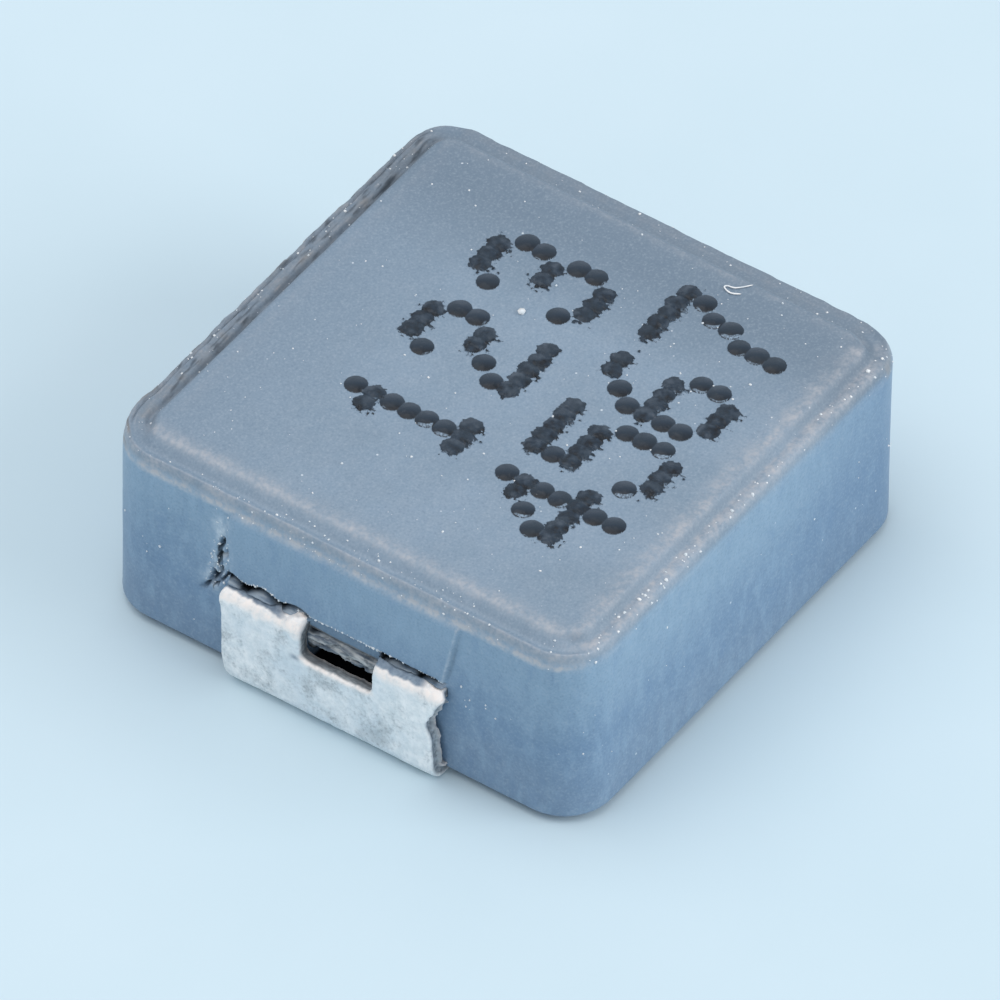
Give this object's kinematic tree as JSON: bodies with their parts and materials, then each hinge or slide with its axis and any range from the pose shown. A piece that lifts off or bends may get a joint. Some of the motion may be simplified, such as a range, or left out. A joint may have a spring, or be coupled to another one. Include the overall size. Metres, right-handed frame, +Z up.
{
  "type": "shielded smd inductor",
  "caption": "Square shielded power inductor for surface mounting: a pressed powder block round a wire coil, with a folded tinned terminal on each of two ends.",
  "frame": {"origin": "middle of the part's outline on the board plane, under the two feet", "axes": "+X from terminal to terminal, +Y across the width towards the top of the figures, +Z up"},
  "size_m": [0.0072, 0.0066, 0.0028],
  "materials": {
    "pressed_powder_composite": "smooth grey-blue pressed iron powder and resin, fine grain",
    "tinned_copper": "dull mottled tin plate on copper strip",
    "enamelled_wire": "clear amber enamel on round copper wire",
    "black_ink": "dried ink-jet dots with a dull sheen"
  },
  "bodies": {
    "root": {"moulded_body": "pressed_powder_composite", "left_terminal": "tinned_copper", "right_terminal": "tinned_copper", "coil": "enamelled_wire", "ink_marking": "black_ink"}
  },
  "joints": []
}
